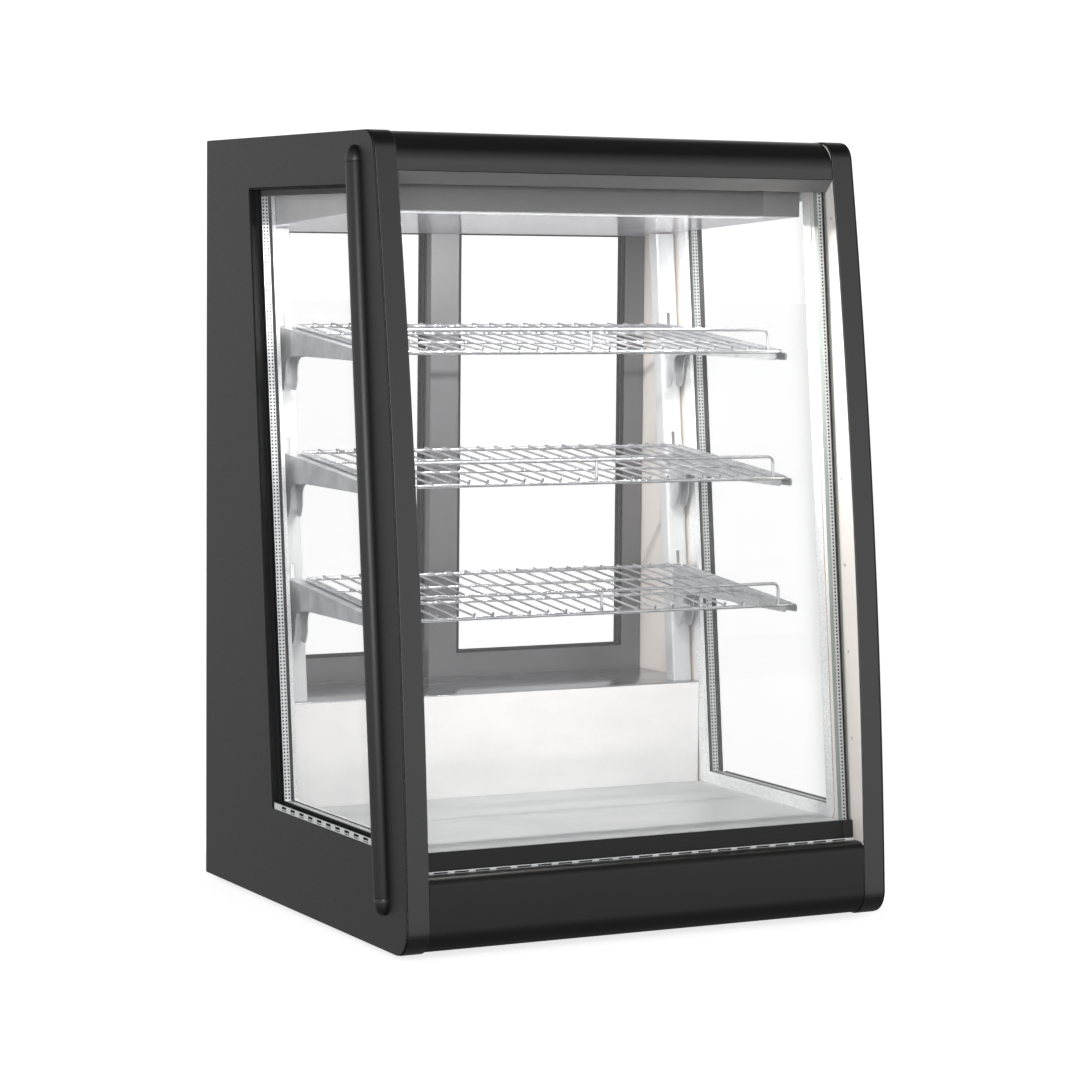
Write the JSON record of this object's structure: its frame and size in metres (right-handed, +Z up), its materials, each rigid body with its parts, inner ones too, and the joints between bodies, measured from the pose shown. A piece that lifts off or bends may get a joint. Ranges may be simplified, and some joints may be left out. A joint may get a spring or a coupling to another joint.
{
  "type": "bakery display case",
  "caption": "Countertop bakery display case with raked double-glazed front and sides, bowed end frames, wire shelves on brackets and sliding rear doors.",
  "frame": {"origin": "on the resting surface, under the middle of the case", "axes": "+Z up, +X to the right for a customer facing the front, +Y towards the rear doors"},
  "size_m": [0.622, 0.5693, 0.881],
  "materials": {
    "graphite_panel": "powder-coated satin",
    "grey_lip": "powder-coated satin",
    "black_band": "semi-gloss",
    "pale_liner": "smooth",
    "graphite_trim": "satin",
    "black_plastic": "satin",
    "black_rubber": "matt",
    "clear_glass": "clear",
    "spacer_aluminium": "mill, perforated",
    "bright_frame": "polished",
    "black_steel": "semi-gloss",
    "satin_steel": "brushed",
    "white_panel": "gloss",
    "frosted_lens": "frosted",
    "door_aluminium": "anodised",
    "zinc_steel": "bright zinc",
    "bright_wire": "bright",
    "black_can": "enamel",
    "coil_fins": "bare",
    "fan_plastic": "moulded",
    "button_rubber": "moulded",
    "rocker_plastic": "moulded"
  },
  "bodies": {
    "cabinet": {"left_side_cover": "graphite_panel", "right_side_cover": "graphite_panel", "lower_fascia": "graphite_panel", "canopy": "graphite_panel", "roof_panel": "graphite_panel", "canopy_lip": "grey_lip", "left_edge_band": "black_band", "right_edge_band": "black_band", "left_end_frame": "pale_liner", "right_end_frame": "pale_liner", "left_trim_bar": "graphite_trim", "right_trim_bar": "graphite_trim", "trim_end_caps": "black_plastic", "rail_end_blocks": "black_plastic", "controller": "black_plastic", "switch_bezel": "black_plastic", "power_inlet": "black_plastic", "condenser_fan_shroud": "black_plastic", "evaporator_fan_shroud": "black_plastic", "window_gaskets": "black_rubber", "rubber_feet": "black_rubber", "left_window_panes": "clear_glass", "right_window_panes": "clear_glass", "front_glass_panes": "clear_glass", "glazing_spacers": "spacer_aluminium", "window_inner_frames": "bright_frame", "side_vent_strips": "black_steel", "front_vent_strip": "black_steel", "front_glass_rail": "black_steel", "ceiling_box": "satin_steel", "driver_cover": "satin_steel", "deck_plate": "satin_steel", "riser_ledge": "satin_steel", "door_header": "satin_steel", "door_sill": "satin_steel", "riser_panel": "white_panel", "light_lens": "frosted_lens", "left_upright": "zinc_steel", "right_upright": "zinc_steel", "top_brackets": "zinc_steel", "middle_brackets": "zinc_steel", "lower_brackets": "zinc_steel", "base_pan": "zinc_steel", "service_panel": "zinc_steel", "screws": "zinc_steel", "compressor": "black_can", "condenser_coil": "coil_fins", "evaporator_coil": "coil_fins"},
    "left_door": {"left_door_frame": "door_aluminium", "left_door_pane": "clear_glass"},
    "right_door": {"right_door_frame": "door_aluminium", "right_door_pane": "clear_glass"},
    "condenser_fan": {"condenser_fan_blades": "fan_plastic"},
    "evaporator_fan": {"evaporator_fan_blades": "fan_plastic"},
    "rocker": {"power_rocker": "rocker_plastic"},
    "up_key": {"up_button": "button_rubber"},
    "down_key": {"down_button": "button_rubber"},
    "upper_shelf": {"top_shelf": "bright_wire"},
    "mid_shelf": {"middle_shelf": "bright_wire"},
    "low_shelf": {"lower_shelf": "bright_wire"}
  },
  "joints": [
    {"name": "left_door_slide", "type": "slide", "parent": "cabinet", "child": "left_door", "axis": [1, 0, 0], "range_m": [0, 0.25]},
    {"name": "right_door_slide", "type": "slide", "parent": "cabinet", "child": "right_door", "axis": [-1, 0, 0], "range_m": [0, 0.24]},
    {"name": "condenser_fan_spin", "type": "hinge", "parent": "cabinet", "child": "condenser_fan", "pos_m": [0.03, 0.222, 0.102], "axis": [0, 1, 0], "continuous": true},
    {"name": "evaporator_fan_spin", "type": "hinge", "parent": "cabinet", "child": "evaporator_fan", "pos_m": [0, 0.011, 0.058], "axis": [0, 1, 0], "continuous": true},
    {"name": "power_rocker_tilt", "type": "hinge", "parent": "cabinet", "child": "rocker", "pos_m": [0.205, 0.2775, 0.133], "axis": [1, 0, 0], "range_deg": [-14, 0]},
    {"name": "up_button_press", "type": "slide", "parent": "cabinet", "child": "up_key", "axis": [0, -1, 0], "range_m": [0, 0.001], "stiffness_N_per_m": 300, "springref_m": -0.0005},
    {"name": "down_button_press", "type": "slide", "parent": "cabinet", "child": "down_key", "axis": [0, -1, 0], "range_m": [0, 0.001], "stiffness_N_per_m": 300, "springref_m": -0.0005},
    {"name": "top_shelf_lift", "type": "slide", "parent": "cabinet", "child": "upper_shelf", "axis": [0, 0, 1], "range_m": [0, 0.03]},
    {"name": "middle_shelf_lift", "type": "slide", "parent": "cabinet", "child": "mid_shelf", "axis": [0, 0, 1], "range_m": [0, 0.03]},
    {"name": "lower_shelf_lift", "type": "slide", "parent": "cabinet", "child": "low_shelf", "axis": [0, 0, 1], "range_m": [0, 0.03]}
  ]
}
